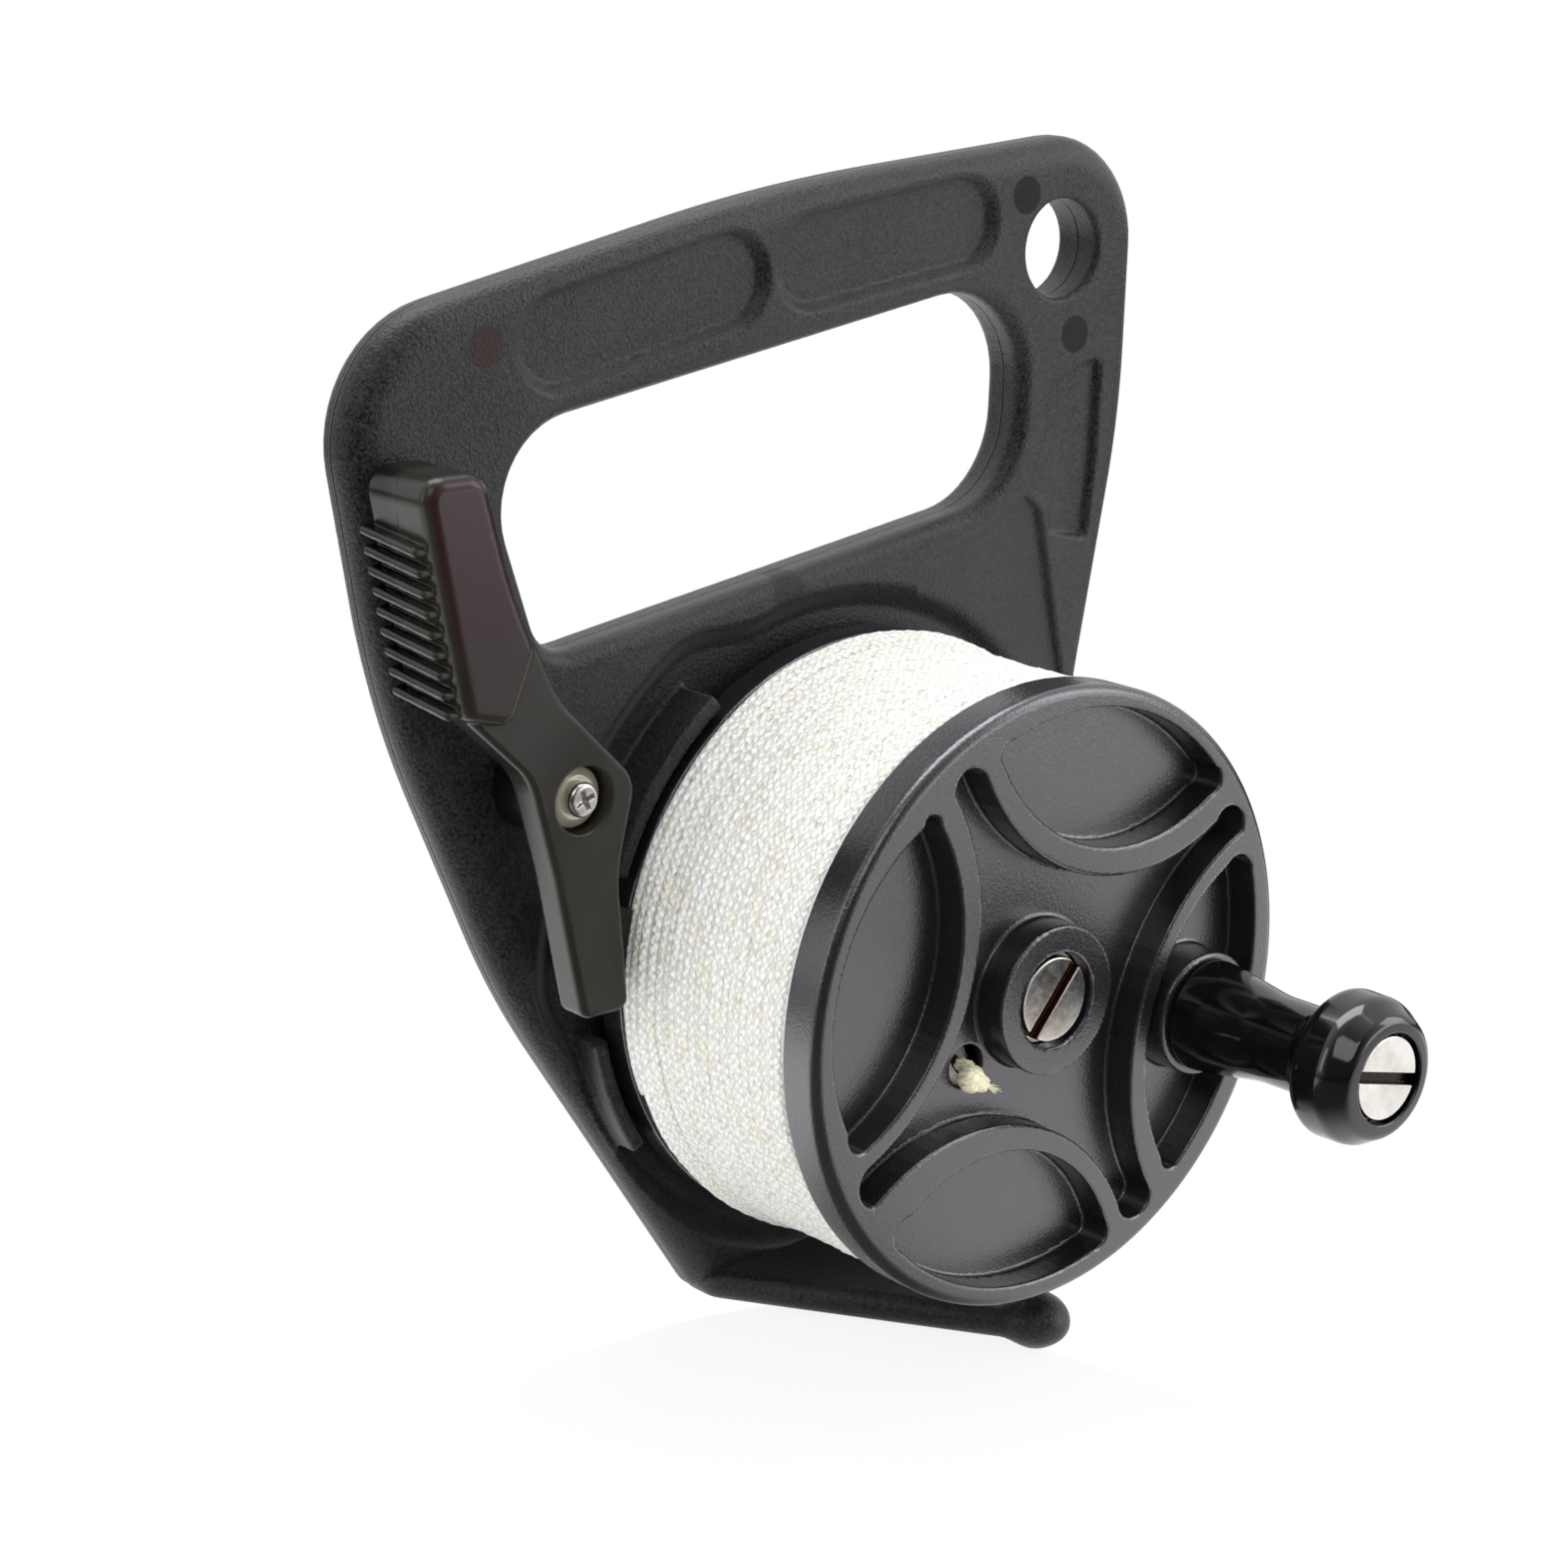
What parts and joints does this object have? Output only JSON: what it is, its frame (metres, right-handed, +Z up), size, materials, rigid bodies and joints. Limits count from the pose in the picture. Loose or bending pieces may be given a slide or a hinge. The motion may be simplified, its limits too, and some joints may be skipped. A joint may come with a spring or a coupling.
{
  "type": "dive reel",
  "caption": "Hand-held dive reel: a spool of white braided line with a winding knob, on a moulded handle frame with a thumb brake lever and a lanyard hole.",
  "frame": {"origin": "on the flat back of the frame plate, 30 mm below the spool's axis", "axes": "+Y out of the back of the frame along the spool's axis, +Z up towards the grip bar, +X to the right as seen from the winding knob"},
  "size_m": [0.1387, 0.092, 0.1623],
  "materials": {
    "frame_nylon": "fine grained, satin",
    "lever_nylon": "smooth satin",
    "spool_nylon": "satin, glossier in the grooves",
    "knob_gloss": "polished",
    "line_braid": "braided polyester, dry",
    "knot_braid": "braided polyester with a frayed end",
    "nickel": "nickel plated, turned",
    "steel": "plain stainless",
    "brass": "turned",
    "acetal": "smooth",
    "rubber": "dull"
  },
  "bodies": {
    "frame": {"handle_frame": "frame_nylon", "axle_bolt": "nickel", "front_washer": "nickel", "axle_sleeve": "steel", "thrust_washer": "acetal", "nut_washer": "steel", "axle_nut": "steel", "lever_screw": "nickel", "lever_washer": "acetal", "lever_bush": "steel", "lever_spring": "steel"},
    "spool": {"front_flange": "spool_nylon", "rear_flange": "spool_nylon", "spool_barrel": "spool_nylon", "flange_screw_1": "steel", "flange_screw_2": "steel", "flange_screw_3": "steel", "line_core": "line_braid", "line_outer_layer": "line_braid", "line_end_knot": "knot_braid", "knob_screw": "nickel", "knob_nut": "brass", "knob_bush": "brass", "knob_washer": "acetal"},
    "knob": {"knob_grip": "knob_gloss"},
    "lever": {"thumb_lever": "lever_nylon", "brake_pad": "rubber"}
  },
  "joints": [
    {"name": "spool_spin", "type": "hinge", "parent": "frame", "child": "spool", "pos_m": [0, 0, 0.03], "axis": [0, 1, 0], "continuous": true},
    {"name": "knob_spin", "type": "hinge", "parent": "spool", "child": "knob", "pos_m": [0.02821, -0.055, 0.0217], "axis": [0, 1, 0], "continuous": true},
    {"name": "lever_pivot", "type": "hinge", "parent": "frame", "child": "lever", "pos_m": [-0.05401, -0.015, 0.061], "axis": [0, 1, 0], "range_deg": [0, 10], "stiffness_Nm_per_rad": 0.4, "springref_deg": -5.73, "deforming": ["lever_spring"]}
  ]
}
